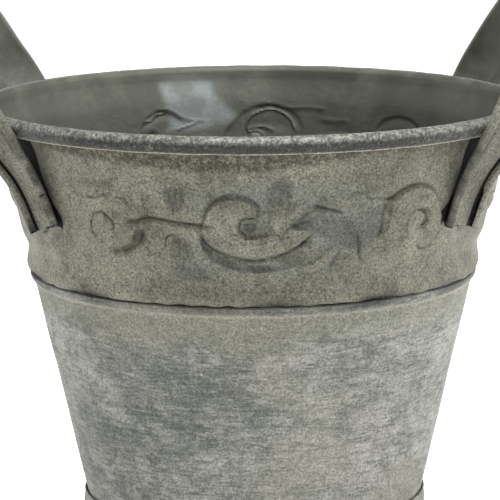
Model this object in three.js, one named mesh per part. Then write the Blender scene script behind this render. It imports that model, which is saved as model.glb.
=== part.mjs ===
// Zinc florist bucket: a flared sheet-metal vessel made of an embossed collar with a wired rim,
// a tapered lower body, a foot ring, a base plate and two leaning strap handles, all soldered.
// Millimetres, +Z up. The origin is the centre of the circle that the foot stands on.
// The front of the bucket faces -Y, and the handles stand on the -X and +X sides.

import * as THREE from 'three';

// ---------------------------------------------------------------- driving dimensions

const ROUND_STEPS = 60;             // facets around every turned piece
const GAP = 0.3;                    // clearance between faces that solder closes
const LAP_GAP = 0.35;               // clearance where one sheet slides inside another

const RIM_TOP = 175;
const WALL_RADIUS_AT_RIM = 94.3;    // outside of the wall, carried up to the rim's height
const WALL_TAPER = 0.2275;          // radius gained per millimetre of height
const SHEET = 0.8;                  // thickness of the collar, body and foot ring

const ROLL_RADIUS = 3.0;            // rim roll, outside
const ROLL_CENTRE_RADIUS = 97.0;
const ROLL_START_DEG = 195;         // where the wall runs into the roll
const ROLL_END_DEG = -125;          // the open lip under the roll
const ROLL_STEPS = 8;
const RIM_WIRE_RADIUS = 1.75;
const RIM_WIRE_SIDES = 8;

const COLLAR_BOTTOM = 114.3;
const TONGUE_TOP = 119;             // the body's upper edge, tucked inside the collar
const BODY_BOTTOM = 6;
const FOOT_TOP = 31.4;
const FOOT_HEM_TOP = 5.2;
const BASE_UNDERSIDE = 10.6;
const BASE_THICKNESS = 1.0;
const FILLET = 1.6;                 // leg of a solder fillet
const SEAM_WIDTH = 4.0;             // solder along a lap seam
const SEAM_HEIGHT = 0.6;
const COLLAR_SEAM_AZIMUTH_DEG = 0;  // up the right side, between the legs of the handle
const BODY_SEAM_AZIMUTH_DEG = 90;   // up the back

// The two handles are bent by hand, so they differ a little. Azimuths are measured from each
// handle's own middle, and distances from the bucket's axis.
const HANDLES = {
  left: {
    setbackDeg: 2.0,                // how far the handle sits behind the middle of its side
    midAzimuthDeg: 34.2,
    rimAzimuthDeg: 32.3,
    archDistance: 97.8,
    archRadius: 54.3,
  },
  right: {
    setbackDeg: 1.4,
    midAzimuthDeg: 35.6,
    rimAzimuthDeg: 34.8,
    archDistance: 93.8,
    archRadius: 57.2,
  },
};
const FOOT_AZIMUTH_DEG = 36.0;
const FOOT_HEIGHT = 136.7;
const FOOT_STANDOFF = 0.55;          // the flat strap only touches the round wall along its middle
const MID_DISTANCE = 92.1;          // half-way up the leg
const MID_HEIGHT = 152.6;
const RIM_DISTANCE = 104.1;         // where the leg passes the rim roll
const RIM_PASS_HEIGHT = 171.5;
const ARCH_HEIGHT = 184.6;          // where the legs run into the round arch
const ARCH_LEAN_DEG = 32.5;         // the arch leans outward from the vertical
const ARCH_STEPS = 8;               // points on half of the arch
const ARCH_ENTRY_TURN = -0.16;      // twist still left in the strap where the arch begins
const STRAP_STEPS = 38;
const END_SLANT = 0.15;             // the strap's ends are cut on a slant

const EDGE_TUBE_RADIUS = 1.6;       // rolled edge of the strap, outside
const EDGE_TUBE_SPACING = 15.6;     // between the middles of the two rolled edges
const STRAP_SHEET = 0.6;
const EDGE_CURL_DEG = 290;          // how far each edge is rolled round
const EDGE_CURL_STEPS = 6;

const FOOT_SOLDER_SPAN_DEG = 10.6;  // the cut end of a leg, seen from the bucket's axis
const FOOT_SOLDER_TOP = 136.6;      // at the end nearer the front or rear of the bucket
const FOOT_SOLDER_DROP = 7.2;       // how far the cut end slopes down towards the side
const FOOT_SOLDER_WIDTH = 4.0;
const FOOT_SOLDER_HEIGHT = 1.2;
const FOOT_SOLDER_STEPS = 6;

const ZINC_WARM = 0x8b8a7b;
const ZINC_COOL = 0x9a9b96;
const ZINC_DARK = 0x77786e;
const SOLDER_GREY = 0x8f8f87;
const WIRE_GREY = 0x5f5f5b;

// ---------------------------------------------------------------- small helpers

const radians = THREE.MathUtils.degToRad;
const vector = (x, y, z) => new THREE.Vector3(x, y, z);

// Outside radius of the plain wall at a height.
const wallRadius = (z) => WALL_RADIUS_AT_RIM + WALL_TAPER * (z - RIM_TOP);

// A profile point that stands a given distance outside the plain wall.
const onWall = ([z, offset]) => new THREE.Vector2(wallRadius(z) + offset, z);

function material(color, roughness, metalness) {
  return new THREE.MeshStandardMaterial({ color, roughness, metalness });
}

// Turns a closed profile of (radius, height) points around +Z.
// The profile runs up its outer side and down its inner side.
function turned(points) {
  const closed = [...points, points[0].clone()];
  return new THREE.LatheGeometry(closed, ROUND_STEPS).rotateX(Math.PI / 2);
}

function arcPoints(radius, fromDeg, toDeg, steps, centreX, centreY) {
  const points = [];
  for (let i = 0; i <= steps; i += 1) {
    const angle = radians(fromDeg + ((toDeg - fromDeg) * i) / steps);
    const x = centreX + radius * Math.cos(angle);
    const y = centreY + radius * Math.sin(angle);
    points.push(new THREE.Vector2(x, y));
  }
  return points;
}

const bucket = new THREE.Group();
bucket.name = 'florist_bucket';

function addPiece(name, geometry, look, parent = bucket) {
  const mesh = new THREE.Mesh(geometry, look);
  mesh.name = name;
  parent.add(mesh);
}

// ---------------------------------------------------------------- collar and its wired rim

// Bulge at the lower edge, a shallow waist above it, then the plain flared wall.
const COLLAR_OFFSETS = [
  [COLLAR_BOTTOM, 0.9],
  [116.2, 1.3],
  [118.8, 0.9],
  [121.4, -0.3],
  [124.6, -0.87],
  [129, 0],
  [165, 0],
];

function collarGeometry() {
  const rollHeight = RIM_TOP - ROLL_RADIUS;
  const rollFace = (radius) =>
    arcPoints(radius, ROLL_START_DEG, ROLL_END_DEG, ROLL_STEPS, ROLL_CENTRE_RADIUS, rollHeight);
  const outer = COLLAR_OFFSETS.map(onWall);
  const inner = COLLAR_OFFSETS.map(([z, offset]) => onWall([z, offset - SHEET])).reverse();
  const insideOfRoll = rollFace(ROLL_RADIUS - SHEET);
  const outsideOfRoll = rollFace(ROLL_RADIUS).reverse();
  return turned([...outer, ...insideOfRoll, ...outsideOfRoll, ...inner]);
}

function rimWireGeometry() {
  const circle = arcPoints(RIM_WIRE_RADIUS, 0, 360, RIM_WIRE_SIDES,
    ROLL_CENTRE_RADIUS, RIM_TOP - ROLL_RADIUS);
  return turned(circle.slice(0, -1));
}

// ---------------------------------------------------------------- lower body, foot and base

// The wall, the thin bead under the collar, and the joggled tongue that the collar slides over.
function bodyGeometry() {
  const tongue = -SHEET - LAP_GAP;
  const outer = [
    [BODY_BOTTOM, 0],
    [110.2, 0],
    [111.4, 0.8],
    [113.2, 0.8],
    [113.7, tongue],
    [TONGUE_TOP, tongue],
  ];
  const inner = [
    [TONGUE_TOP, tongue - SHEET],
    [112.6, tongue - SHEET],
    [110.6, -SHEET],
    [BODY_BOTTOM, -SHEET],
  ];
  return turned([...outer, ...inner].map(onWall));
}

// A skirt outside the body with one swaged bead, hemmed inward to a flat foot.
function footRingGeometry() {
  const outside = SHEET + LAP_GAP;
  const outer = [
    [0, outside],
    [21.7, outside],
    [24.2, outside + 1.0],
    [26.6, outside + 1.25],
    [29.2, outside + 0.6],
    [FOOT_TOP, outside],
  ];
  const inner = [
    [FOOT_TOP, outside - SHEET],
    [29.2, outside - SHEET + 0.4],
    [26.6, outside - SHEET + 1.1],
    [24.2, outside - SHEET + 0.8],
    [21.7, outside - SHEET],
    [FOOT_HEM_TOP, outside - SHEET],
    [FOOT_HEM_TOP, -2 * SHEET],
    [0, -2 * SHEET],
  ];
  return turned([...outer, ...inner].map(onWall));
}

function basePlateGeometry() {
  const top = BASE_UNDERSIDE + BASE_THICKNESS;
  const edge = -SHEET - GAP;
  const profile = [
    new THREE.Vector2(0, BASE_UNDERSIDE),
    onWall([BASE_UNDERSIDE, edge]),
    onWall([top, edge]),
    new THREE.Vector2(0, top),
  ];
  return new THREE.LatheGeometry(profile, ROUND_STEPS).rotateX(Math.PI / 2);
}

// A three-sided ring of solder in the corner between a ledge and the wall above it.
function filletRing(ledge, wallOffset) {
  const bottom = ledge + GAP;
  return turned([
    onWall([bottom, wallOffset - GAP - FILLET]),
    onWall([bottom, wallOffset - GAP]),
    onWall([bottom + FILLET, wallOffset - GAP]),
  ]);
}

// ---------------------------------------------------------------- solder lines on the wall

// A straight run over the cone between two (azimuth, height) places, just clear of the wall.
// Its frames keep the section's x across the run and its y pointing away from the wall.
class WallRun extends THREE.Curve {
  constructor(from, to, standoff) {
    super();
    this.from = from;
    this.to = to;
    this.standoff = standoff;
  }

  azimuthAt(t) {
    return radians(THREE.MathUtils.lerp(this.from.azimuthDeg, this.to.azimuthDeg, t));
  }

  getPoint(t) {
    const azimuth = this.azimuthAt(t);
    const z = THREE.MathUtils.lerp(this.from.z, this.to.z, t);
    const radius = wallRadius(z) + this.standoff;
    return vector(radius * Math.cos(azimuth), radius * Math.sin(azimuth), z);
  }

  computeFrenetFrames(segments) {
    const frames = { tangents: [], normals: [], binormals: [] };
    for (let i = 0; i <= segments; i += 1) {
      const azimuth = this.azimuthAt(i / segments);
      const outward = vector(Math.cos(azimuth), Math.sin(azimuth), -WALL_TAPER).normalize();
      const along = this.getTangentAt(i / segments);
      const across = outward.clone().cross(along).normalize();
      frames.tangents.push(along);
      frames.normals.push(across);
      frames.binormals.push(along.clone().cross(across));
    }
    return frames;
  }
}

// A low half-round bead: flat below, crowned on top.
function beadShape(width, height) {
  const half = width / 2;
  return new THREE.Shape([
    new THREE.Vector2(-half, 0),
    new THREE.Vector2(half, 0),
    new THREE.Vector2(0.55 * half, 0.8 * height),
    new THREE.Vector2(0, height),
    new THREE.Vector2(-0.55 * half, 0.8 * height),
  ]);
}

function wallBead(from, to, width, height, steps) {
  const extrudePath = new WallRun(from, to, GAP);
  return new THREE.ExtrudeGeometry(beadShape(width, height), { steps, extrudePath });
}

// ---------------------------------------------------------------- strap handles

const archAlong = vector(Math.sin(radians(ARCH_LEAN_DEG)), 0, Math.cos(radians(ARCH_LEAN_DEG)));
const archAcross = vector(Math.cos(radians(ARCH_LEAN_DEG)), 0, -Math.sin(radians(ARCH_LEAN_DEG)));

// A place given by its distance from the bucket's axis, its azimuth and its height.
function polar(distance, azimuthDeg, z) {
  const azimuth = radians(azimuthDeg);
  return vector(distance * Math.cos(azimuth), distance * Math.sin(azimuth), z);
}

// Stations along a handle: the middle of the strap's underside and its width direction.
// The strap lies flat on the wall at the foot and turns to face along Y in the arch.
function handleStations({ midAzimuthDeg, rimAzimuthDeg, archDistance, archRadius }) {
  const footDistance = wallRadius(FOOT_HEIGHT) + FOOT_STANDOFF;
  const stations = [
    {
      at: polar(footDistance, FOOT_AZIMUTH_DEG, FOOT_HEIGHT),
      across: vector(0.505, -0.8, -0.325),
    },
    {
      at: polar(MID_DISTANCE, midAzimuthDeg, MID_HEIGHT),
      across: vector(0.565, -0.775, -0.285),
    },
    {
      at: polar(RIM_DISTANCE, rimAzimuthDeg, RIM_PASS_HEIGHT),
      across: vector(0.78, -0.54, -0.32),
    },
  ];
  for (let i = 0; i <= ARCH_STEPS; i += 1) {
    const angle = (i / ARCH_STEPS) * (Math.PI / 2);
    const at = vector(archDistance, archRadius * Math.cos(angle), ARCH_HEIGHT);
    at.addScaledVector(archAlong, archRadius * Math.sin(angle));
    const across = archAcross.clone();
    across.y = i === 0 ? ARCH_ENTRY_TURN : 0;
    stations.push({ at, across });
  }
  const mirrored = stations.slice(0, -1).reverse().map(({ at, across }) => ({
    at: vector(at.x, -at.y, at.z),
    across: vector(across.x, -across.y, across.z),
  }));
  return [...stations, ...mirrored];
}

// The middle line of a handle, with the strap's own width direction carried along it.
class HandlePath extends THREE.Curve {
  constructor(shape) {
    super();
    const stations = handleStations(shape);
    this.middle = new THREE.CatmullRomCurve3(stations.map(({ at }) => at));
    this.across = new THREE.CatmullRomCurve3(stations.map(({ across }) => across));
  }

  getPoint(t) {
    return this.middle.getPoint(t);
  }

  computeFrenetFrames(segments) {
    const frames = { tangents: [], normals: [], binormals: [] };
    for (let i = 0; i <= segments; i += 1) {
      const along = this.getTangentAt(i / segments);
      const across = this.across.getPoint(this.getUtoTmapping(i / segments));
      across.addScaledVector(along, -across.dot(along)).normalize();
      frames.tangents.push(along);
      frames.normals.push(across);
      frames.binormals.push(along.clone().cross(across));
    }
    frames.normals[0].addScaledVector(frames.tangents[0], -END_SLANT);
    frames.normals[segments].addScaledVector(frames.tangents[segments], END_SLANT);
    return frames;
  }
}

// One sheet: flat in the middle, with both long edges curled over into open tubes.
function strapShape() {
  const half = EDGE_TUBE_SPACING / 2;
  const curlEnd = -90 + EDGE_CURL_DEG;
  const outside = arcPoints(EDGE_TUBE_RADIUS, -90, curlEnd, EDGE_CURL_STEPS,
    half, EDGE_TUBE_RADIUS);
  const inside = arcPoints(EDGE_TUBE_RADIUS - STRAP_SHEET, curlEnd, -90, EDGE_CURL_STEPS - 1,
    half, EDGE_TUBE_RADIUS);
  const right = [...outside, ...inside];
  const left = right.map((point) => new THREE.Vector2(-point.x, point.y)).reverse();
  return new THREE.Shape([...right, ...left]);
}

function handleGeometry(shape) {
  const extrudePath = new HandlePath(shape);
  return new THREE.ExtrudeGeometry(strapShape(), { steps: STRAP_STEPS, extrudePath });
}

// Solder run along the cut end of one leg, which slopes down towards the side of the bucket.
function footSolder(side) {
  const halfSpan = FOOT_SOLDER_SPAN_DEG / 2;
  const upper = { azimuthDeg: side * (FOOT_AZIMUTH_DEG + halfSpan), z: FOOT_SOLDER_TOP };
  const lower = {
    azimuthDeg: side * (FOOT_AZIMUTH_DEG - halfSpan),
    z: FOOT_SOLDER_TOP - FOOT_SOLDER_DROP,
  };
  return wallBead(upper, lower, FOOT_SOLDER_WIDTH, FOOT_SOLDER_HEIGHT, FOOT_SOLDER_STEPS);
}

// ---------------------------------------------------------------- assembly

const warmZinc = material(ZINC_WARM, 0.62, 0.55);
const coolZinc = material(ZINC_COOL, 0.58, 0.55);
const darkZinc = material(ZINC_DARK, 0.66, 0.5);
const solder = material(SOLDER_GREY, 0.6, 0.5);
const wire = material(WIRE_GREY, 0.5, 0.8);

addPiece('frieze_collar', collarGeometry(), warmZinc);
addPiece('rim_wire', rimWireGeometry(), wire);
addPiece('lower_body', bodyGeometry(), coolZinc);
addPiece('foot_ring', footRingGeometry(), coolZinc);
addPiece('base_plate', basePlateGeometry(), darkZinc);
addPiece('base_solder', filletRing(BASE_UNDERSIDE + BASE_THICKNESS, -SHEET), solder);
addPiece('collar_joint_solder', filletRing(TONGUE_TOP, -SHEET - FILLET), solder);

// Solder up the lap seam of each sheet.
function seamSolder(azimuthDeg, bottom, top) {
  const at = (z) => ({ azimuthDeg, z });
  return wallBead(at(bottom), at(top), SEAM_WIDTH, SEAM_HEIGHT, 1);
}

addPiece('collar_seam_solder', seamSolder(COLLAR_SEAM_AZIMUTH_DEG, 130, 165), solder);
addPiece('body_seam_solder', seamSolder(BODY_SEAM_AZIMUTH_DEG, 34, 109), solder);

// Each handle is modelled pointing along +X in a group that turns it to its side.
function addHandle(side, turnDeg, frontSide) {
  const group = new THREE.Group();
  group.rotation.z = radians(turnDeg);
  addPiece(`${side}_handle`, handleGeometry(HANDLES[side]), warmZinc, group);
  addPiece(`${side}_front_handle_solder`, footSolder(frontSide), solder, group);
  addPiece(`${side}_rear_handle_solder`, footSolder(-frontSide), solder, group);
  bucket.add(group);
}

addHandle('right', HANDLES.right.setbackDeg, -1);
addHandle('left', 180 - HANDLES.left.setbackDeg, 1);

export default bucket;
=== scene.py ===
"""Looks for the zinc florist bucket: an embossed collar with a wired rim, a tapered lower body,
a foot ring, a base plate, two strap handles and the solder that holds them together.

Shapes are worked out in millimetres in the CAD frame (+Z up, the front faces -Y) and become metres
when a mesh is made. A place on the wall is (azimuth, height): azimuth is in degrees from the front,
positive towards +X.
"""

import math

import bpy
import numpy as np
from mathutils import Matrix, Vector


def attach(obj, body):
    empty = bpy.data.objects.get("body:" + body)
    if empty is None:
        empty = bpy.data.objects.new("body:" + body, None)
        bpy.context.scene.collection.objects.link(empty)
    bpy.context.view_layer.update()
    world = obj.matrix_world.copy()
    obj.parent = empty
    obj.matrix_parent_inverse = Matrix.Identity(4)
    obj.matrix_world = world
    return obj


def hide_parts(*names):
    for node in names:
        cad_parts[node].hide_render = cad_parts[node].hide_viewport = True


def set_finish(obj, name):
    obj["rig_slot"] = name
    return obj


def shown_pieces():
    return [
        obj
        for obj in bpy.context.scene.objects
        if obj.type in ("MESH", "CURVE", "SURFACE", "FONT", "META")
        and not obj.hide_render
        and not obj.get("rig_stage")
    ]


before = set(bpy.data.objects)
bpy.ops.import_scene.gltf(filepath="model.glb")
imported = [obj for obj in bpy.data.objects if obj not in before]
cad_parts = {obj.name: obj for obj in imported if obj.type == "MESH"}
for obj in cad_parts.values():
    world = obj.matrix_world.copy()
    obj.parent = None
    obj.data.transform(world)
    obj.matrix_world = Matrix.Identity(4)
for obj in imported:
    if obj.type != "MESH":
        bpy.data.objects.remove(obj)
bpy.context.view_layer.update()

MM = 0.001

# ---- sizes shared with the CAD

RIM_TOP = 175.0
WALL_RADIUS_AT_RIM = 94.3
WALL_TAPER = 0.2275
SHEET = 0.8
ROLL_RADIUS = 3.0
ROLL_CENTRE_RADIUS = 97.0
ROLL_START_DEG = 195
ROLL_END_DEG = -125
ROLL_MERGES_DEG = 166                # where the roll's skin runs into the inside of the wall
RIM_WIRE_RADIUS = 1.75
WALL_TOP = 170.4                     # above this height the collar is the roll
COLLAR_BOTTOM = 114.3
TONGUE_TOP = 119.0
BODY_BOTTOM = 6.0
FOOT_TOP = 31.4
BASE_UNDERSIDE = 10.6
BASE_THICKNESS = 1.0
GAP = 0.3
LAP_GAP = 0.35
FILLET = 1.6

HANDLES = {
    "left": dict(setback=2.0, mid_azimuth=34.2, rim_azimuth=32.3, arch_distance=97.8,
                 arch_radius=54.3, turn=180.0, front=1),
    "right": dict(setback=1.4, mid_azimuth=35.6, rim_azimuth=34.8, arch_distance=93.8,
                  arch_radius=57.2, turn=0.0, front=-1),
}
FOOT_AZIMUTH = 36.0
FOOT_HEIGHT = 136.7
FOOT_STANDOFF = 0.55
MID_DISTANCE = 92.1
MID_HEIGHT = 152.6
RIM_DISTANCE = 104.1
RIM_PASS_HEIGHT = 171.5
ARCH_HEIGHT = 184.6
ARCH_LEAN_DEG = 32.5
ARCH_STEPS = 8
ARCH_ENTRY_TURN = -0.16
END_SLANT = 0.15
TUBE_RADIUS = 1.6
TUBE_SPACING = 15.6
STRAP_SHEET = 0.6

# ---- mesh resolution

COLLAR_COLUMNS = 1200
WALL_COLUMNS = 540
FRIEZE_STEP = 0.55                   # height of a mesh row in the frieze
INNER_STEP = 0.6                     # and on the inside of the collar
STRAP_ROWS_PER_STATION = 24


def wall_radius(z):
    return WALL_RADIUS_AT_RIM + WALL_TAPER * (z - RIM_TOP)


# ---- small helpers

def smoothstep(t):
    t = np.clip(t, 0.0, 1.0)
    return t * t * (3.0 - 2.0 * t)


def bell(x, centre, width):
    """1 at the centre, falling smoothly to nothing about two widths away."""
    return np.exp(-((x - centre) / width) ** 2)


def smooth_path(points, closed=False, steps=6):
    """A Catmull-Rom curve through 2-D or 3-D points, as an array."""
    p = np.array(points, float)
    if closed:
        p = np.vstack([p[-1], p, p[0], p[1]])
    else:
        p = np.vstack([2 * p[0] - p[1], p, 2 * p[-1] - p[-2]])
    parts = []
    for i in range(1, len(p) - 2):
        a, b, c, d = p[i - 1], p[i], p[i + 1], p[i + 2]
        t = (np.arange(steps) / steps)[:, None]
        parts.append(0.5 * (2 * b + (c - a) * t + (2 * a - 5 * b + 4 * c - d) * t ** 2
                            + (3 * b - a - 3 * c + d) * t ** 3))
    if not closed:
        parts.append(p[-2:-1])
    return np.vstack(parts)


def waves(azimuth_deg, z, seed, around, up, count=7):
    """Smooth seeded dents, from -1 to 1: up to `around` waves round the bucket, `up` mm and longer."""
    random = np.random.default_rng(seed)
    total = np.zeros(np.broadcast(azimuth_deg, z).shape)
    for _ in range(count):
        turns = random.integers(1, around + 1)
        phase = random.uniform(0, 2 * math.pi)
        height = up * random.uniform(1.0, 3.0)
        total = total + np.cos(np.radians(azimuth_deg) * turns + phase + 2 * math.pi * z / height)
    return total / count


# ---- mesh making

def new_object(name, points, faces, slot, values=None, sharp_deg=38):
    """A shaded piece from points in millimetres. `values` are per-point numbers for the material."""
    mesh = bpy.data.meshes.new(name)
    mesh.from_pydata((np.asarray(points) * MM).tolist(), [], faces)
    for key, numbers in (values or {}).items():
        attribute = mesh.attributes.new(key, "FLOAT", "POINT")
        attribute.data.foreach_set("value", np.asarray(numbers, np.float32).ravel())
    mesh.shade_smooth()
    mesh.set_sharp_from_angle(angle=math.radians(sharp_deg))
    obj = bpy.data.objects.new(name, mesh)
    bpy.context.scene.collection.objects.link(obj)
    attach(obj, "root")
    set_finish(obj, slot)
    return obj


def grid_faces(rows, columns, close_rows, close_columns):
    """Quads over a grid of points stored row by row."""
    r = np.arange(rows if close_rows else rows - 1)
    c = np.arange(columns if close_columns else columns - 1)
    r, c = np.meshgrid(r, c, indexing="ij")
    r2, c2 = (r + 1) % rows, (c + 1) % columns
    quads = np.stack([r * columns + c, r * columns + c2, r2 * columns + c2, r2 * columns + c], -1)
    return quads.reshape(-1, 4).tolist()


def turned_points(radius, z, azimuth_deg):
    """Points of a turned form: radius is rows x columns, z is one value or a row of values."""
    a = np.radians(azimuth_deg)
    z = np.broadcast_to(z, radius.shape)
    return np.stack([radius * np.sin(a), -radius * np.cos(a), z], -1)


def azimuths(columns):
    """Azimuths round the bucket, from -90 degrees on."""
    return -90.0 + 360.0 * np.arange(columns) / columns


def arc(radius, start_deg, end_deg, steps, centre_x, centre_y):
    a = np.radians(np.linspace(start_deg, end_deg, steps + 1))
    return np.stack([centre_x + radius * np.cos(a), centre_y + radius * np.sin(a)], -1)


# ---- the frieze

# The stamped panel covers half of the collar and repeats on the other half.
PANEL_DEG = 180.0
FRIEZE_RADIUS = 87.0                 # turns degrees into millimetres along the frieze
FRIEZE_LOW = 120.0
FRIEZE_HIGH = 160.0

# Outlines that several features share.
BIG_CRESCENT = [(-11.6, 139.9), (-10.9, 137.8), (-9.4, 135.7), (-7, 133.9), (-4.2, 132.5),
                (-1.7, 131.6), (0.9, 131.4), (4.6, 132.3), (7.5, 133.9), (9.9, 136),
                (11.6, 137.7), (12.8, 139.2)]
BIG_ARC = [(-10.8, 146.4), (-10.4, 148), (-9.7, 150), (-8, 152.3), (-5.6, 153.7), (-3.7, 153.7),
           (-0.6, 152.1), (0.9, 149.8), (1.2, 147.6), (0.7, 145.7)]
BIG_HOOK = [(0.7, 145.4), (-0.3, 145.9), (-2, 145.6), (-3, 143.9), (-3, 142),
            (-2.5, 140.6), (-1.2, 139.8)]
END_ARC = [(29.7, 149.9), (32.1, 150.5), (33.5, 151.9), (35.9, 153.6), (38.6, 154.2),
           (41.2, 153.4), (43.4, 152.2), (45.1, 149.6), (46.3, 147.6), (47, 145.2)]
END_HOOK = [(38.5, 135), (37.9, 137.1), (37.3, 140), (37.6, 142.5), (38.6, 144.3),
            (40, 145.1), (41.9, 144.6), (43.1, 143.2), (43.5, 141.4), (42.9, 139.6), (41.5, 138.6)]
SMALL_OVAL = [(-38.1, 135.7), (-39.3, 139.3), (-38.3, 144.1), (-36.4, 145.6), (-35, 145.4),
              (-33.8, 143.9), (-32.9, 142.1), (-33.5, 139.6)]
STEM = [(-29.4, 143.9), (-27.3, 143.8), (-24.4, 145.2), (-21.5, 145), (-18.6, 144.3),
        (-13.8, 143.6), (-9.7, 143.2)]

PAD_GAIN = 1.6                       # the heights of the pads and skirts are multiplied by this
STROKE_GAIN = 1.05                   # and the depths of the strokes by this
REAR_LIFT = 4.5                      # the rear panel was stamped this much higher, in mm
REAR_FROM_DEG = 70                   # the lift starts this far from the front
REAR_OVER_DEG = 40                   # and is complete this much further on

# The ramp below the big scroll, which the pads stand on.
SKIRTS = [
    ([(-12.2, 138.6), (-10, 132.5), (-8, 130), (-5.6, 127.9), (-2.2, 126.4), (4.6, 126.1),
      (9.9, 127.5), (12.8, 129.3), (15.2, 132.1), (16.5, 136), (13, 140), (0, 141), (-9, 140.5)],
     0.9, 5),
]

# Raised pads: (outline, height in mm, width in mm of the slope inside the outline).
PADS = [
    # big scroll, and the field to its right that it runs into
    ([(2.2, 138.6), (2, 143), (2.4, 147.5), (4.5, 151), (9, 152), (13, 150.6), (14, 148),
      (9, 144.4), (8.2, 143.2), (12.6, 142), (13, 139), (7, 137)], 1, 4.5),
    (BIG_ARC + BIG_HOOK + [(5, 141.2), (8.2, 143), (12.4, 142.2), (13.4, 139.8)]
     + BIG_CRESCENT[::-1] + [(-12, 142)], 1.1, 1.3),
    # leaves to the right of the big scroll
    ([(8.2, 143.8), (10.2, 146.2), (13, 149.4), (15.4, 148.2), (17.2, 146.4), (14.2, 145.5),
      (11, 143.9)], 0.9, 1.6),
    ([(13.8, 150.6), (16, 149.6), (19.8, 147.8), (23, 148.8), (24.9, 151.8), (22, 153.8),
      (18, 153.9), (15, 152.6)], 0.9, 2),
    ([(9.5, 127.6), (12, 129.8), (15.5, 133), (18.4, 135), (18.4, 131), (17.2, 127),
      (14, 124.8), (11, 125.4)], 0.9, 1.8),
    ([(20, 129), (22, 132.6), (24.4, 132), (25.6, 128), (24, 125.4), (20.8, 125.6)], 0.8, 1.8),
    # end scroll
    (END_ARC + [(48.6, 141), (48.4, 136.4), (46, 134.2), (43.4, 136.2)] + END_HOOK[::-1]
     + [(35.5, 134.6), (32, 135.2), (30.3, 137), (31.2, 142), (31.2, 148.6)], 0.9, 1.3),
    # small scroll and its outer band
    (SMALL_OVAL + [(-35, 136.6)], 0.7, 1.6),
    ([(-43, 146), (-41, 150), (-38, 153.4), (-34, 154.2), (-30.8, 151.6), (-30, 147),
      (-31.5, 140), (-34, 134), (-38, 132.6), (-42, 138)], 0.6, 3),
    ([(-33.6, 134), (-31, 134.6), (-28.6, 137), (-27, 141), (-30, 143), (-32.6, 138.5)], 0.6, 2),
    # side scrolls, centred under each handle
    ([(66, 141), (69, 147), (75, 150.5), (82, 149.5), (88, 146.5), (94, 149.5), (101, 151),
      (108, 148), (111, 142), (106, 137.5), (98, 139), (91, 141), (84, 138), (75, 135.5),
      (68, 137)], 0.8, 2.6),
]

# Grooves and steps: (path, depth in mm, reach in mm on the left, on the right, grime).
# Left and right are as seen when the path is followed, with the wall looked at from outside.
STROKES = [
    (BIG_ARC, 0.6, 1.3, 0.7, 0.4),
    (BIG_HOOK, 0.5, 0.9, 0.8, 0.8),
    (BIG_CRESCENT, 1, 0.5, 2.6, 1),
    ([(-4.9, 141), (-4.2, 140.6), (-3.5, 140.4)], 0.5, 0.6, 0.6, 0.8),
    ([(8.4, 143.1), (10.5, 143.4), (13.3, 144.9)], 0.7, 0.8, 1.6, 0.9),
    ([(13.5, 150.1), (15.7, 148.9), (18.1, 147.9), (20.2, 146.9)], 0.8, 0.7, 1.8, 1),
    ([(22, 153.6), (24.9, 152.9), (26.3, 151), (29.7, 150.9)], 0.5, 1, 0.8, 0.5),
    (END_ARC, 0.6, 1.2, 0.7, 0.7),
    ([(30.9, 148.6), (30.7, 145), (30.7, 141.4), (29.9, 136.4)], 0.8, 0.6, 1.4, 0.8),
    (END_HOOK, 0.6, 0.8, 0.8, 0.75),
    ([(39.5, 141.9), (40.1, 143.1), (41.4, 143.2), (42.1, 141.8)], 0.2, 0.6, 0.6, 0.3),
    ([(41.9, 132.1), (43.1, 130.6), (45.6, 130.9), (48, 133.2), (48.9, 135.7)],
     0.7, 0.6, 1.6, 0.7),
    ([(24.3, 139.3), (24.9, 135), (25.3, 131.4), (26.3, 128.8)], 0.8, 0.8, 1.4, 0.8),
    ([(20.6, 133.5), (19.2, 130.6), (18.2, 127.2)], 0.7, 1.2, 1.2, 0.7),
    ([(27.8, 131), (28.9, 133), (31, 133.3), (32.5, 132)], 0.4, 0.7, 0.7, 0.5),
    ([(5.4, 156.8), (5.6, 153.5), (5.8, 150.5)], 0.4, 1, 1, 0.7),
    ([(7.3, 155.2), (7.6, 152.5), (7.9, 150)], 0.4, 0.9, 0.9, 0.7),
    (STEM, 1, 0.8, 2, 1),
    ([(-18.8, 154.5), (-18.3, 151), (-17.9, 147.8)], 0.5, 0.7, 0.7, 0.8),
    ([(-17, 155.7), (-17.2, 152), (-16.8, 148.5)], 0.4, 0.6, 0.6, 0.6),
    ([(-15.2, 155.7), (-16, 152.5), (-15.9, 149)], 0.4, 0.6, 0.6, 0.6),
    ([(-20.6, 135), (-20, 138.4), (-18.8, 139.6), (-17.4, 139.3)], 0.5, 0.8, 0.8, 0.8),
    ([(-17.6, 138), (-17.2, 134.5), (-17.4, 131.5)], 0.5, 1, 1, 0.8),
    ([(-15.9, 138), (-15.6, 134.5), (-15.3, 132)], 0.4, 0.8, 0.8, 0.6),
    (SMALL_OVAL, 0.6, 1.1, 0.5, 0.8),
    ([(-39.8, 151.1), (-38, 150.8), (-36, 151.3), (-35, 152.1), (-33.8, 152), (-33, 150.6)],
     0.6, 1, 0.7, 0.7),
    ([(-31, 151.5), (-29.6, 151), (-28.5, 148.9)], 0.6, 1.2, 0.9, 0.9),
    ([(-34.6, 132.6), (-32.6, 132.4), (-30.1, 133.2), (-28.2, 135), (-26.8, 136.8),
      (-25.8, 140.6)], 1, 0.7, 2.6, 1),
    # side scrolls
    ([(84, 139), (80, 141), (76.5, 143.5), (73, 143.5), (71.5, 141), (73.5, 139)],
     0.7, 0.9, 0.9, 0.8),
    ([(93, 146.5), (98, 146.5), (102, 145.5), (105, 142.5), (103, 140.5), (100.5, 141.5)],
     0.7, 0.9, 0.9, 0.8),
    ([(84, 144.5), (89, 142.6), (95, 143.6)], 0.5, 0.8, 0.8, 0.6),
]

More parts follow.
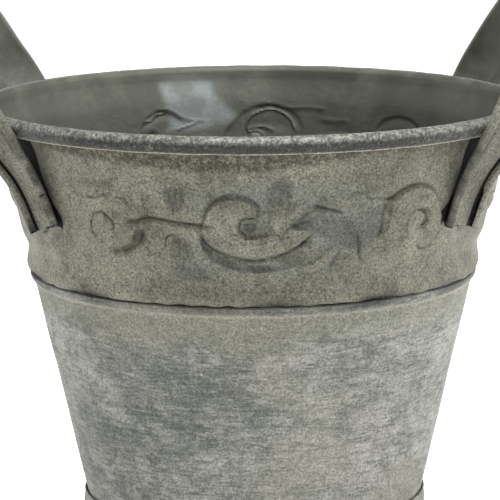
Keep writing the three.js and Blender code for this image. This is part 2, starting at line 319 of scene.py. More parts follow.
# Hollows and darkened ground: (outline, depth in mm, slope width in mm, grime). Below the big scroll
# and below the small scroll the darkening is painted shade on slopes that face down.
HOLLOWS = [
    ([(-2.9, 143.2), (-2.2, 145), (-0.7, 145.4), (0.6, 144.9), (1.1, 142.8), (0.4, 140.8),
      (-0.9, 140), (-2.3, 140.9)], 0.9, 1.6, 0.75),
    # painted shade: the ramp below the big scroll faces down and is darkened
    ([(-12, 138.4), (-9, 134), (-4, 131.2), (0.9, 130), (5, 131), (9, 133.6), (10.6, 135),
      (12.6, 133.2), (12.2, 130.2), (9, 127.4), (3, 125.8), (-3, 126.2), (-8.4, 129.2),
      (-11.8, 133.8)], 0, 1.1, 0.80),
    ([(8, 143), (13, 150), (17, 147), (24, 147), (31, 150), (30, 136), (25, 132), (18, 134.5),
      (14, 139)], 0, 3, 0.5),
    ([(-20, 130), (-14, 131), (-8.5, 129), (-8, 124), (-13, 121.6), (-19, 123)],
     0, 3, 0.45),
    ([(2.4, 150), (3.6, 158), (8, 162), (9, 155), (8, 150)], 0, 2, 0.6),
    ([(-19.4, 148), (-19.6, 156), (-14.6, 156.2), (-15.4, 148)], 0, 1.4, 0.6),
    ([(-18.8, 139), (-19.6, 131), (-13.6, 131), (-14.2, 138.4)], 0, 1.6, 0.6),
    # painted shade: the band below the small scroll faces down and is darkened
    ([(-34.8, 133.4), (-32, 134.2), (-29.4, 136.2), (-27.8, 140.6), (-25.4, 140.8),
      (-26, 136.4), (-29, 132.8), (-33, 131.2)], 0, 0.9, 0.8),
    ([(-45, 157), (-44, 152.4), (-38, 153), (-33, 153.4), (-32, 156.5), (-38, 158)],
     0, 2, 0.35),
    ([(38.5, 151.5), (39.5, 148), (42.5, 148.2), (43.4, 151)], 0.4, 1.6, 0.5),
]

# On the inside only the broad shapes come through the sheet, softly.
INSIDE_PADS = [
    ([(-13, 141), (-12, 148), (-8, 152.4), (-2, 153.4), (4, 149.5), (8, 142), (0, 134)], 0.35, 5),
]
INSIDE_STROKES = [
    ([(6.5, 144.5), (4.5, 148), (1.5, 152.3), (-2, 154.4), (-6, 154.6), (-9, 153.1),
      (-11.4, 150), (-12.5, 146.5)], -0.5, 5, 1.8, 0),
    ([(-1.5, 155.8), (-5, 156), (-8.5, 154.6), (-12, 154.5), (-15.5, 154.8), (-18.5, 154.3)],
     0.3, 1.5, 1.3, 0.9),
    ([(-18, 150.5), (-21.5, 150), (-24.5, 150.6)], 0.3, 1.9, 1.5, 0.9),
    ([(1.5, 146), (-1, 147.2), (-3.5, 147.1), (-5.5, 145.7)], 0.4, 1, 0.8, 0.8),
    ([(29, 147.5), (27, 151.5), (23.5, 153.5), (20.5, 152.5), (18, 150)], -0.6, 3.2, 1.2, 0),
    ([(24.5, 155.2), (21, 154.8), (18.8, 152.6), (16, 150.6), (12, 150)], 0.3, 1, 0.8, 0.6),
    ([(-33, 147.5), (-35, 151), (-39, 152.8), (-43, 152), (-46, 149.5)], -0.5, 3.2, 1.2, 0),
]
INSIDE_HOLLOWS = [
    ([(30, 144.5), (29.6, 148.4), (27, 149.4), (24.4, 147.8), (24.5, 144.5)], 0.3, 1.8, 0.9),
    ([(-33, 145), (-34, 149.6), (-36.6, 149), (-37, 145)], 0.2, 1.8, 0.6),
]
OUTSIDE = PADS, SKIRTS, HOLLOWS, STROKES
INSIDE = INSIDE_PADS, [], INSIDE_HOLLOWS, INSIDE_STROKES

# Painted shadow on the wall in the gap between each leg and the wall: (outline, edge in mm, amount).
LEG_SHADOWS = [
    ([(-62, 169.5), (-55, 169.5), (-54, 157), (-52.4, 148), (-49.6, 142), (-49.8, 137),
      (-54, 135), (-60, 137), (-62, 150)], 1.2, 1.5),
    ([(62, 169.5), (53.2, 169.5), (52.2, 157), (50.9, 148), (47.4, 142.4), (48, 137),
      (54, 135), (60, 137), (62, 150)], 1.6, 1.5),
]
# The sunk ground round the big scroll is cooler and darker than the rest.
COOL_AREAS = [
    ([(-21, 157), (-12, 158.5), (0, 160), (10, 160), (20, 158), (27, 156), (31, 151),
      (30.6, 137), (26.5, 129), (18, 124), (6, 123), (-6, 124), (-14, 122), (-20, 124),
      (-19, 133), (-13, 141), (-14, 147), (-20, 150)], 4, 1),
]
# Soot below the rim, then darker and lighter areas of the body: partly the body's own tone, partly
# painted shade and painted light.
RIM_DIRT = [
    ([(-52, 170.5), (-52, 165), (-36, 163.4), (-22, 161.6), (-8, 160.4), (5, 161), (14, 163.2),
      (30, 166), (50, 167.2), (50, 170.5)], 3, 1),
]
DULL_AND_SHADED_AREAS = [
    ([(-50, 100), (-36, 101), (-22, 104), (-4, 106), (10, 104), (16, 96), (10, 84), (4, 72),
      (-10, 72), (-26, 70), (-36, 74), (-46, 86)], 14, 0.8),
    ([(-66, 70), (-40, 70), (-30, 60), (-44, 54), (-66, 58)], 8, 0.5),
]
BRIGHT_AND_LIT_AREAS = [
    ([(-78, 60), (-52, 58), (-30, 58), (-16, 52), (-20, 32), (-78, 30)], 12, 0.9),
    ([(26, 108), (78, 108), (78, 32), (8, 32), (0, 48), (8, 62), (24, 72)], 16, 0.8),
]
# Darker dirt on the inside, to the right of the rear panel.
INSIDE_DIRT = [([(96, 173), (160, 173), (166, 150), (150, 128), (96, 118)], 22, 0.34)]
# Paler, bluish flux marks on the inside of the rear wall.
PALE_PATCHES = [
    ([(203, 171.4), (189.5, 171.4), (187.5, 165), (184.5, 160), (182.6, 155.5), (186, 151.5),
      (196, 149.5), (203.5, 149.5), (202, 156), (203.4, 163)], 4.5, 1),
]


def from_front(azimuth_deg):
    """Degrees away from the front, 0 to 180, whichever way round."""
    return np.abs((np.asarray(azimuth_deg) + 180.0) % 360.0 - 180.0)


def to_mm(points):
    """(azimuth, height) pairs as millimetres along and up the frieze."""
    return np.array(points, float) * [math.radians(1) * FRIEZE_RADIUS, 1.0]


def covered_share(path, edge, x, z):
    """0 outside a closed path, rising to 1 at `edge` mm inside it."""
    distance, *_ = near_path(path, x, z, closed=True)
    return smoothstep(np.where(is_inside(path, x, z), distance, 0.0) / edge)


def stains(areas, azimuth_deg, z):
    """Share of each place that the soft-edged areas cover. Areas are (outline, edge in mm, amount)."""
    azimuth_deg, z = np.broadcast_arrays(azimuth_deg, z)
    x = np.radians(azimuth_deg) * FRIEZE_RADIUS
    covered = np.zeros(x.shape)
    for outline, edge, amount in areas:
        path = smooth_path(to_mm(outline), closed=True, steps=4)
        low, high = path.min(0), path.max(0)
        chosen = (x > low[0]) & (x < high[0]) & (z > low[1]) & (z < high[1])
        share = amount * covered_share(path, edge, x[chosen], z[chosen])
        covered[chosen] = np.maximum(covered[chosen], share)
    return covered


def near_path(path, x, z, closed):
    """Distance from each place to a path, its side (+1 left), how far along, and the whole length."""
    ends = np.vstack([path[1:], path[:1]]) if closed else path[1:]
    starts = path if closed else path[:-1]
    best = np.full(x.shape, np.inf)
    side = np.ones(x.shape)
    along = np.zeros(x.shape)
    run = 0.0
    for a, b in zip(starts, ends):
        d = b - a
        length = math.hypot(*d)
        if length < 1e-9:
            continue
        t = np.clip(((x - a[0]) * d[0] + (z - a[1]) * d[1]) / length ** 2, 0, 1)
        dx, dz = x - a[0] - t * d[0], z - a[1] - t * d[1]
        distance = np.hypot(dx, dz)
        closer = distance < best
        best = np.where(closer, distance, best)
        side = np.where(closer, np.sign(d[0] * dz - d[1] * dx), side)
        along = np.where(closer, run + t * length, along)
        run += length
    return best, side, along, run


def is_inside(path, x, z):
    """Whether each place is inside a closed path, by counting the edges to its right."""
    inside = np.zeros(x.shape, bool)
    for a, b in zip(path, np.vstack([path[1:], path[:1]])):
        crosses = (a[1] > z) != (b[1] > z)
        with np.errstate(divide="ignore", invalid="ignore"):
            at = a[0] + (z - a[1]) * (b[0] - a[0]) / (b[1] - a[1])
        inside ^= crosses & (x < at)
    return inside


def near_places(points, x, z, reach):
    """Which places are within reach of a feature, and x brought next to it round the panel."""
    panel = math.radians(PANEL_DEG) * FRIEZE_RADIUS
    middle = (points[:, 0].min() + points[:, 0].max()) / 2
    half = (points[:, 0].max() - points[:, 0].min()) / 2
    local_x = middle + (x - middle + panel / 2) % panel - panel / 2
    low, high = points[:, 1].min() - reach, points[:, 1].max() + reach
    rows = (np.abs(local_x - middle) < half + reach) & (z > low) & (z < high)
    return rows, local_x


def stamping(azimuth_deg, z, pads, skirts, hollows, strokes):
    """Height of the stamping in mm, and its darkening from 0 to 1 (grime, and painted shade on some
    slopes), at each place on the collar.
    """
    azimuth_deg, z = np.broadcast_arrays(azimuth_deg, z)
    x = np.radians(azimuth_deg) * FRIEZE_RADIUS
    z = z - REAR_LIFT * smoothstep((from_front(azimuth_deg) - REAR_FROM_DEG) / REAR_OVER_DEG)
    height = np.zeros(x.shape)
    grime_and_shade = np.zeros(x.shape)

    def area_share(outline, slope):
        path = smooth_path(to_mm(outline), closed=True, steps=4)
        chosen, local_x = near_places(path, x, z, 1.0)
        return chosen, covered_share(path, slope, local_x[chosen], z[chosen])

    for outline, raised, slope in pads:
        chosen, share = area_share(outline, slope)
        height[chosen] = np.maximum(height[chosen], PAD_GAIN * raised * share)
    for outline, raised, slope in skirts:
        chosen, share = area_share(outline, slope)
        height[chosen] += PAD_GAIN * raised * share
    for outline, depth, slope, dark_amount in hollows:
        chosen, share = area_share(outline, slope)
        height[chosen] -= depth * share
        grime_and_shade[chosen] = np.maximum(grime_and_shade[chosen], dark_amount * share)
    for points, depth, left, right, dark_amount in strokes:
        path = smooth_path(to_mm(points), steps=5)
        chosen, local_x = near_places(path, x, z, max(left, right) + 1.0)
        distance, side, along, length = near_path(path, local_x[chosen], z[chosen], closed=False)
        reach = np.where(side > 0, left, right)
        taper = smoothstep((along + 1.2) / 2.4) * smoothstep((length - along + 1.2) / 2.4)
        share = (1.0 - smoothstep(distance / reach)) * taper
        height[chosen] -= STROKE_GAIN * depth * share
        core = (1.0 - smoothstep(distance / (0.75 * reach))) * taper
        grime_and_shade[chosen] = np.maximum(grime_and_shade[chosen], dark_amount * core)
    patchy = 0.72 + 0.6 * waves(azimuth_deg, z, 16, 90, 6.0, 9)
    return height, np.clip(grime_and_shade * patchy, 0, 1)


# ---- collar and rim wire

THINNEST = 0.3                       # the stamping never draws the sheet thinner than this
COLLAR_EDGE_WAVE = 0.5               # the lower edge of the collar is cut a little unevenly
RIM_FLARE = 1.45
FLARE_START = 160.5
FLARE_END = 171.2
DENTS_END = 158.0                    # the wall runs true again from here to the roll
ROLL_FACES_IN_DEG = 98.0             # from here on the roll has the patina of the inside


def bulge_offset(z):
    """How far the outer face stands outside the plain wall: a bulge, then a shallow waist."""
    return 1.35 * bell(z, 116.2, 2.9) - 0.87 * bell(z, 124.2, 3.0)


def flare(z):
    """The wall leans out a little more just below the rim, to run smoothly into the roll."""
    return RIM_FLARE * smoothstep((z - FLARE_START) / (FLARE_END - FLARE_START))


def lip_ridge(angle_deg):
    """The cut edge of the sheet stands a little proud along the bottom of the roll."""
    return 0.20 * bell(angle_deg, -78.0, 8.0) - 0.22 * bell(angle_deg, -58.0, 8.0)


def collar_profile():
    """Radius and height of each row, up the outside, round the roll and down the inside, and how
    far each row belongs to the wall, the inside, the roll, its lip and its underside."""
    low = np.linspace(COLLAR_BOTTOM, FRIEZE_LOW, 11)[:-1]
    middle = np.arange(FRIEZE_LOW, FRIEZE_HIGH, FRIEZE_STEP)
    high = np.linspace(FRIEZE_HIGH, WALL_TOP, 13)
    outer_z = np.concatenate([low, middle, high])
    inner_z = np.concatenate([np.linspace(COLLAR_BOTTOM, FRIEZE_LOW, 6)[:-1],
                              np.arange(FRIEZE_LOW, FRIEZE_HIGH, INNER_STEP), high])[::-1]
    turn = np.linspace(ROLL_START_DEG, ROLL_END_DEG, 61)
    unit = np.stack([np.cos(np.radians(turn)), np.sin(np.radians(turn))], -1)
    centre = np.array([ROLL_CENTRE_RADIUS, RIM_TOP - ROLL_RADIUS])
    roll_in = (centre + (ROLL_RADIUS - SHEET) * unit)[::2]
    shown_turn = turn[turn < ROLL_MERGES_DEG][::-1]
    shown_unit = unit[turn < ROLL_MERGES_DEG][::-1]
    roll_out = centre + (ROLL_RADIUS + lip_ridge(shown_turn))[:, None] * shown_unit
    outer_radius = wall_radius(outer_z) + bulge_offset(outer_z) + flare(outer_z)
    inner_radius = wall_radius(inner_z) + bulge_offset(inner_z) + flare(inner_z) - SHEET
    radius = np.concatenate([outer_radius, roll_in[:, 0], roll_out[:, 0], inner_radius])
    z = np.concatenate([outer_z, roll_in[:, 1], roll_out[:, 1], inner_z])

    count = len(outer_z), len(roll_in), len(roll_out), len(inner_z)
    shown = slice(count[0] + count[1], count[0] + count[1] + count[2])
    share = {
        "wall": np.repeat([1.0, 0.0, 0.0, 1.0], count),
        "inside": np.repeat([0.0, 0.0, 0.0, 1.0], count),
        "roll": np.repeat([0.0, 1.0, 1.0, 0.0], count),
        "lip": np.zeros(len(z)),
        "underside": np.zeros(len(z)),
    }
    faces_in = smoothstep((shown_turn - ROLL_FACES_IN_DEG) / 22.0)
    share["inside"][shown] += faces_in
    share["roll"][shown] -= faces_in
    # a pale line on the lip: painted highlight where the lip faces down
    share["lip"][shown] = bell(shown_turn, -76.0, 8.0)
    share["underside"][shown] = smoothstep((34.0 - shown_turn) / 36.0)
    return radius, z[:, None], {name: rows[:, None] for name, rows in share.items()}


def collar_relief(around, z, share):
    """Height of the stamping and the darkening at each point of the collar, both zero on the roll:
    grime, painted shade on some slopes and at the lower edge, and painted shadow behind the legs.
    """
    height, grime_and_shade = stamping(around, z, *OUTSIDE)
    inner = np.flatnonzero(share["inside"])
    pressed_in = height[inner] + SHEET - THINNEST
    height[inner], grime_and_shade[inner] = stamping(around, z[inner], *INSIDE)
    height[inner] = np.minimum(height[inner], pressed_in)
    grime_and_shade[inner] = np.maximum(grime_and_shade[inner], stains(INSIDE_DIRT, around, z[inner]))
    # painted shadow on the wall behind each leg
    leg_shadow = stains(LEG_SHADOWS, around, z) * (share["inside"] < 0.5)
    # a broken dark line along the collar's lower edge: painted shade in the crevice over the bead,
    # with patina
    edge_shade_and_patina = bell(z, COLLAR_BOTTOM, 2.2) * (share["inside"] < 0.5)
    edge_shade_and_patina = edge_shade_and_patina * (0.30 + 1.3 * waves(around, 0.0 * z, 15, 14, 50.0, 5))
    grime_and_shade = np.maximum.reduce([grime_and_shade, leg_shadow, np.clip(edge_shade_and_patina, 0, 1)])
    return height * share["wall"], grime_and_shade * share["wall"]


def make_collar():
    radius, z, share = collar_profile()
    around = azimuths(COLLAR_COLUMNS)[None]
    height, grime_and_shade = collar_relief(around, z, share)
    dents = 0.22 * waves(around, z, 11, 16, 24.0) * (1.0 - smoothstep((z - DENTS_END) / 12.0))
    hammering = 0.10 * waves(around, z, 12, 90, 14.0, 12) * share["roll"]
    points = turned_points(radius[:, None] + height + dents + hammering, z, around)
    points[:, :, 2] += 0.12 * waves(around, 0.0 * z, 13, 40, 50.0) * share["roll"]
    at_edge = 1.0 - smoothstep((z - COLLAR_BOTTOM) / 1.5)
    uneven = np.clip(0.4 + 1.6 * waves(around, 0.0 * z, 14, 70, 50.0, 11), 0, 1)
    points[:, :, 2] += COLLAR_EDGE_WAVE * uneven * at_edge
    values = {name: np.broadcast_to(share[name], grime_and_shade.shape)
              for name in ("inside", "roll", "lip", "underside")}
    values["grime_and_shade"] = grime_and_shade
    values["pale"] = stains(PALE_PATCHES, around, z) * share["inside"]
    values["cool"] = stains(COOL_AREAS, around, z) * (1.0 - 0.85 * smoothstep(height / 1.5))
    values["soot"] = stains(RIM_DIRT, around, z) * (share["inside"] < 0.5)
    faces = grid_faces(len(z), COLLAR_COLUMNS, True, True)
    collar = new_object("embossed_collar", points.reshape(-1, 3), faces, "warm_zinc", values)
    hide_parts("frieze_collar")
    return collar


def make_turned(name, slot, profile, columns, replaced, dents=None, values=None):
    """A turned piece from a profile of (radius, height) points, up the outside, down the inside."""
    profile = np.asarray(profile, float)
    around = azimuths(columns)
    radius = np.repeat(profile[:, :1], columns, 1)
    z = profile[:, 1:]
    if dents is not None:
        radius = radius + dents(around[None], z)
    points = turned_points(radius, z, around).reshape(-1, 3)
    faces = grid_faces(len(profile), columns, True, True)
    piece = new_object(name, points, faces, slot, values)
    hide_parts(replaced)
    return piece


def make_rim_wire():
    circle = arc(RIM_WIRE_RADIUS, 0, 360, 16, ROLL_CENTRE_RADIUS, RIM_TOP - ROLL_RADIUS)[:-1]
    return make_turned("rim_wire_ring", "edge_wire", circle, 240, "rim_wire")


# ---- lower body, foot and base

PLAIN_WALL_TOP = 109.6               # the bead starts above this height
FOOT_BEAD_LOW = 21.7
FOOT_BEAD_HEIGHT = 8.7
FOOT_COLUMNS = 360


def on_wall(pairs):
    """(height, distance outside the plain wall) pairs as (radius, height) points."""
    return [(wall_radius(z) + offset, z) for z, offset in pairs]


def wall_dents(azimuth_deg, z):
    return 0.30 * waves(azimuth_deg, z, 21, 9, 40.0) + 0.10 * waves(azimuth_deg, z, 22, 34, 14.0)


def make_lower_body():
    tongue = -SHEET - LAP_GAP
    plain = np.linspace(BODY_BOTTOM, PLAIN_WALL_TOP, 54)
    bead = [(110.2, 0.05), (110.7, 0.35), (111.3, 0.8), (112.0, 1.05), (112.8, 1.1),
            (113.4, 0.9), (113.8, 0.4), (113.95, -0.3), (114.0, tongue), (116, tongue),
            (TONGUE_TOP, tongue)]
    outer = [(z, 0.0) for z in plain] + bead
    inner = ([(TONGUE_TOP, tongue - SHEET), (113.4, tongue - SHEET), (112.6, -1.5), (111.9, -0.5),
              (111.2, -0.35), (110.4, -SHEET)] + [(z, -SHEET) for z in plain[::-1]])
    inside = np.repeat([0.0, 1.0], [len(outer), len(inner)])

    def dents(azimuth_deg, z):
        share = smoothstep((z - 32) / 12) * (1 - smoothstep((z - 98) / 12))
        return wall_dents(azimuth_deg, z) * share

    heights = np.array([z for z, _ in outer + inner])[:, None]
    around = azimuths(WALL_COLUMNS)[None]
    outside = (inside < 0.5)[:, None]
    dirt = 0.40 + 0.5 * waves(around, 0.0 * heights, 23, 15, 50.0, 6)
    # the bead and the joint above it are darkened: painted shade in the gap under the collar, with
    # patina
    bead_shade_and_patina = np.clip(dirt, 0, 0.9) * smoothstep((heights - 110.4) / 2.0)
    values = {
        "inside": inside[:, None] + 0.0 * around,
        "grime_and_shade": bead_shade_and_patina * outside,
        "warm": smoothstep((heights - 97.0) / 10.0) * (heights < 110.9) * outside + 0.0 * around,
        # a painted highlight along the bottom of the bead
        "bead_highlight": bell(heights, 110.5, 0.5) * outside + 0.0 * around,
        # darker and lighter areas of the body: tone, with painted shade and painted light
        "dull_and_shaded": stains(DULL_AND_SHADED_AREAS, around, heights) * outside,
        "bright_and_lit": stains(BRIGHT_AND_LIT_AREAS, around, heights) * outside,
    }
    return make_turned("tapered_body", "cool_zinc", on_wall(outer + inner), WALL_COLUMNS,
                       "lower_body", dents, values)


def make_foot_ring():
    out = SHEET + LAP_GAP
    bead_z = np.linspace(FOOT_BEAD_LOW, FOOT_BEAD_LOW + FOOT_BEAD_HEIGHT, 15)
    bead = 1.25 * np.sin(np.pi * (bead_z - FOOT_BEAD_LOW) / FOOT_BEAD_HEIGHT) ** 1.4
    outer = ([(0, out - 0.3), (0.4, out)] + [(z, out) for z in (4, 8, 12, 16, 19, 21)]
             + list(zip(bead_z, out + bead)) + [(FOOT_TOP - 0.3, out), (FOOT_TOP, out - 0.3)])
    face = out - SHEET
    inner = ([(FOOT_TOP, face)] + list(zip(bead_z[::-1], face + 0.85 * bead[::-1]))
             + [(18, face), (10, face), (5.4, face), (5.2, face - 0.2), (5.2, -2 * SHEET + 0.2),
                (5.0, -2 * SHEET), (0.3, -2 * SHEET), (0, -2 * SHEET + 0.3)])
    inside = np.repeat([0.0, 1.0], [len(outer), len(inner)])
    return make_turned("foot_skirt", "cool_zinc", on_wall(outer + inner), FOOT_COLUMNS, "foot_ring",
                       None, {"inside": np.repeat(inside[:, None], FOOT_COLUMNS, 1)})


def make_base():
    """The base plate: a flat disc with two pressed rings."""
    edge = wall_radius(BASE_UNDERSIDE + 0.5) - SHEET - GAP
    radii = np.concatenate([[0.05], np.linspace(2, edge - 0.3, 60)])
    ring = 0.22 * (bell(radii, 46, 1.6) - bell(radii, 38, 1.6))
    top = BASE_UNDERSIDE + BASE_THICKNESS - 0.25 + ring
    bottom = BASE_UNDERSIDE + 0.25 + ring
    profile = np.concatenate([np.stack([radii, bottom], -1), [(edge, BASE_UNDERSIDE + 0.5)],
                              np.stack([radii, top], -1)[::-1]])
    return make_turned("base_disc", "dark_zinc", profile, 240, "base_plate")


def make_fillet(name, replaced, ledge, wall_offset, seed):
    """A hollow-faced ring of solder in the corner between a ledge and the wall above it."""
    corner = wall_radius(ledge + GAP) + wall_offset - GAP
    run = np.linspace(0, 1, 7)
    face_r = corner - FILLET * (1 - run) ** 1.6
    face_z = ledge + GAP + FILLET * run ** 1.6
    profile = np.concatenate([np.stack([face_r, face_z], -1), [(corner, ledge + GAP)]])

    def ripple(azimuth_deg, z):
        share = smoothstep((z - ledge - GAP) / (0.3 * FILLET)) * smoothstep((ledge + 1.7 - z) / 0.5)
        return -0.18 * share * (1 + waves(azimuth_deg, 0.0 * z, seed, 60, 9.0, 9))

    return make_turned(name, "solder", profile, 300, replaced, ripple)


# ---- strap handles

def polar(distance, azimuth_deg, z):
    a = math.radians(azimuth_deg)
    return [distance * math.cos(a), distance * math.sin(a), z]


def handle_stations(shape):
    """The middle of the strap's underside and its width direction, as the CAD has them."""
    lean = math.radians(ARCH_LEAN_DEG)
    arch_along = np.array([math.sin(lean), 0, math.cos(lean)])
    stations = [
        (polar(wall_radius(FOOT_HEIGHT) + FOOT_STANDOFF, FOOT_AZIMUTH, FOOT_HEIGHT),
         (0.505, -0.8, -0.325)),
        (polar(MID_DISTANCE, shape["mid_azimuth"], MID_HEIGHT), (0.565, -0.775, -0.285)),
        (polar(RIM_DISTANCE, shape["rim_azimuth"], RIM_PASS_HEIGHT), (0.78, -0.54, -0.32)),
    ]
    for i in range(ARCH_STEPS + 1):
        angle = math.pi / 2 * i / ARCH_STEPS
        at = np.array([shape["arch_distance"], shape["arch_radius"] * math.cos(angle), ARCH_HEIGHT])
        at = at + arch_along * shape["arch_radius"] * math.sin(angle)
        stations.append((at, (math.cos(lean), ARCH_ENTRY_TURN if i == 0 else 0, -math.sin(lean))))
    at = np.array([s[0] for s in stations], float)
    across = np.array([s[1] for s in stations], float)
    flip = np.array([1, -1, 1])
    return np.vstack([at, at[-2::-1] * flip]), np.vstack([across, across[-2::-1] * flip])


def centripetal(points, per_span):
    """three.js's centripetal Catmull-Rom curve through the points, evenly split in each span."""
    p = np.vstack([2 * points[0] - points[1], points, 2 * points[-1] - points[-2]])
    parts = []
    for i in range(1, len(p) - 2):
        a, b, c, d = p[i - 1], p[i], p[i + 1], p[i + 2]
        da, db, dc = (max(np.dot(v, v) ** 0.25, 1e-4) for v in (b - a, c - b, d - c))
        start = ((b - a) / da - (c - a) / (da + db) + (c - b) / db) * db
        end = ((c - b) / db - (d - b) / (db + dc) + (d - c) / dc) * db
        last = i == len(p) - 3
        t = (np.arange(per_span + (1 if last else 0)) / per_span)[:, None]
        parts.append(b + start * t + (3 * (c - b) - 2 * start - end) * t ** 2
                     + (2 * (b - c) + start + end) * t ** 3)
    return np.vstack(parts)


CURL_STEPS = 22
FLAT_ACROSS = [-7.2, -6.5, -5.8, -4.6, -3.9, -3.3, -2.7, -1, 1, 3, 4.7, 5.3, 5.6, 5.9, 6.4, 7.2]
TUBE_CURL_DEG = 290


def strap_section(inner_curl_deg, outer_curl_deg):
    """Outside and inside points of the rolled strap, from the lip of one tube to the other.
    Negative x is the tube nearer the wall when the strap lies on it, positive x the outer one."""
    half = TUBE_SPACING / 2

    def curl(radius, curl_deg):
        return arc(radius, -90, -90 + curl_deg, CURL_STEPS, half, TUBE_RADIUS)

    left = curl(TUBE_RADIUS, inner_curl_deg)[::-1] * [-1, 1]
    left_in = curl(TUBE_RADIUS - STRAP_SHEET, inner_curl_deg)[::-1] * [-1, 1]
    right = curl(TUBE_RADIUS, outer_curl_deg)
    right_in = curl(TUBE_RADIUS - STRAP_SHEET, outer_curl_deg)
    flat = np.stack([FLAT_ACROSS, np.zeros(len(FLAT_ACROSS))], -1)
    flat_in = flat + [0, STRAP_SHEET]
    return np.vstack([left, flat, right]), np.vstack([left_in, flat_in, right_in])


NOTCH_AT = 12.5                      # a saw cut across the left handle's inner tube, from the foot
NOTCH_HALF_WIDTH = 0.35
DARKENED_LENGTH = 30.0                   # the legs are darkened this far up from each foot: painted shade in the slots and by the inner tube, and a darker inner tube


def strap_rows(shape):
    """Place, outward direction, width direction and distance run of each row along the strap."""
    at, across = (centripetal(stations, STRAP_ROWS_PER_STATION)
                  for stations in handle_stations(shape))
    along = np.gradient(at, axis=0)
    along /= np.linalg.norm(along, axis=1)[:, None]
    across = across - (across * along).sum(1)[:, None] * along
    across /= np.linalg.norm(across, axis=1)[:, None]
    away = np.cross(along, across)
    slant = across.copy()
    slant[0] -= END_SLANT * along[0]
    slant[-1] += END_SLANT * along[-1]

    steps = np.linalg.norm(np.diff(at, axis=0), axis=1)
    run = np.concatenate([[0], np.cumsum(steps)])
    notch_at = NOTCH_AT if shape["front"] > 0 else run[-1] - NOTCH_AT
    finer = np.union1d(run, notch_at + NOTCH_HALF_WIDTH * np.linspace(-2, 2, 9))
    at, away, slant = (np.stack([np.interp(finer, run, column) for column in values.T], -1)
                       for values in (at, away, slant))
    return at, away, slant, finer


def strap_shade_and_grime(side, x, up, hidden, run, from_end):
    """Darkening on one row: painted shade in the tubes, the slots and the valley by the inner tube,
    painted shade at the cut tube ends, and an inner tube darker in patches near the feet.
    """
    near_foot = 1 - smoothstep((from_end - DARKENED_LENGTH) / 14)
    # painted shade inside the rolled tubes
    in_tube = hidden * (np.abs(x) > TUBE_SPACING / 2 - 1.2)
    in_slot = np.where(x > 0, 1.0, 0.35) * (up < 1.2)
    # painted shade in the slots beside the tubes, deeper near the feet
    crease = smoothstep((np.abs(x) - 5.3) / 0.5) * in_slot * (0.3 + 0.7 * near_foot)
    # painted shade in the valley beside the inner tube
    valley = 0.75 * smoothstep((-2.7 - x) / 1.2) * (up < 1.2) * near_foot
    patchy = 0.75 + 0.35 * math.sin(0.31 * run) * math.sin(0.83 * run + 2)
    # the inner tube is darker in patches near each foot
    darker_inner_tube = 0.62 * (x < -TUBE_SPACING / 2 + 1.2) * patchy * near_foot
    # painted shade at the cut ends of the tubes
    end = math.exp(-(from_end / 2.2) ** 2)
    tube_end_shade = 0.9 * end * (np.abs(x) > 6.0) if side == "left" else end * (x < -5.5)
    return np.maximum.reduce([in_tube, crease, tube_end_shade, darker_inner_tube, valley])


def make_handle(side):
    shape = HANDLES[side]
    at, away, slant, run = strap_rows(shape)
    points = []
    grime_and_shade = []
    back = []
    for i in range(len(at)):
        from_front_foot = run[i] if shape["front"] > 0 else run[-1] - run[i]
        gape = outer_slot_gape(side, from_front_foot)
        outside, inside = strap_section(TUBE_CURL_DEG - 4, TUBE_CURL_DEG - gape)
        x, up = np.vstack([outside, inside[::-1]]).T
        hidden = np.repeat([0.0, 1.0], [len(outside), len(inside)])
        dirt = strap_shade_and_grime(side, x, up, hidden, run[i], min(run[i], run[-1] - run[i]))
        dent = 0.12 * math.sin(run[i] * 0.21 + 1) + 0.08 * math.sin(run[i] * 0.53)
        lifted = up + dent * np.clip(1 - (np.abs(x) / (TUBE_SPACING / 2)) ** 2, 0, 1)
        if side == "left":
            on_inner = x < -TUBE_SPACING / 2 + 1.9
            from_notch = (from_front_foot - NOTCH_AT) / NOTCH_HALF_WIDTH
            lifted[on_inner] *= 1 - 0.3 * math.exp(-from_notch ** 4)
            # the saw cut is painted dark: painted shade inside the cut
            dirt = np.maximum(dirt, on_inner * math.exp(-from_notch ** 2))
        points.append(at[i] + x[:, None] * slant[i] + lifted[:, None] * away[i])
        grime_and_shade.append(np.clip(dirt, 0, 1))
        back.append(smoothstep(1.4 - up) * (1 - hidden))
    rows = len(points)
    count = len(points[0])
    faces = grid_faces(rows, count, False, True)
    for row, order in ((0, 1), (rows - 1, -1)):
        for k in range(count // 2 - 1):
            ring = [k, k + 1, count - 2 - k, count - 1 - k][::order]
            faces.append([row * count + j for j in ring])
    setback = shape["setback"] if side == "right" else -shape["setback"]
    rotate = np.array(Matrix.Rotation(math.radians(shape["turn"] + setback), 3, "Z"))
    handle = new_object(f"{side}_strap_handle", np.array(points).reshape(-1, 3) @ rotate.T, faces,
                        "warm_zinc", {"grime_and_shade": np.array(grime_and_shade), "inside": np.array(back)},
                        sharp_deg=50)
    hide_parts(f"{side}_handle")
    return handle


def outer_slot_gape(side, from_front_foot):
    """Degrees by which the outer tube's lip stands open, by distance along the strap from the
    front foot: a wide slot at the foot of the right handle, and a fine one on the left."""
    if side == "right":
        return 46 * (1 - smoothstep((from_front_foot - 11) / 6)) + 6
    return 10 * (1 - smoothstep((from_front_foot - 30) / 12)) + 3


# ---- solder on the wall

SOLDER_SINK = 0.4                    # a patch reaches this far into the sheet
FOOT_SOLDER_HEIGHT = 133.6
FOOT_SOLDER_HALF = 8.6, 2.6          # half its width and half its height, in mm
FOOT_SOLDER_TILT_DEG = 24


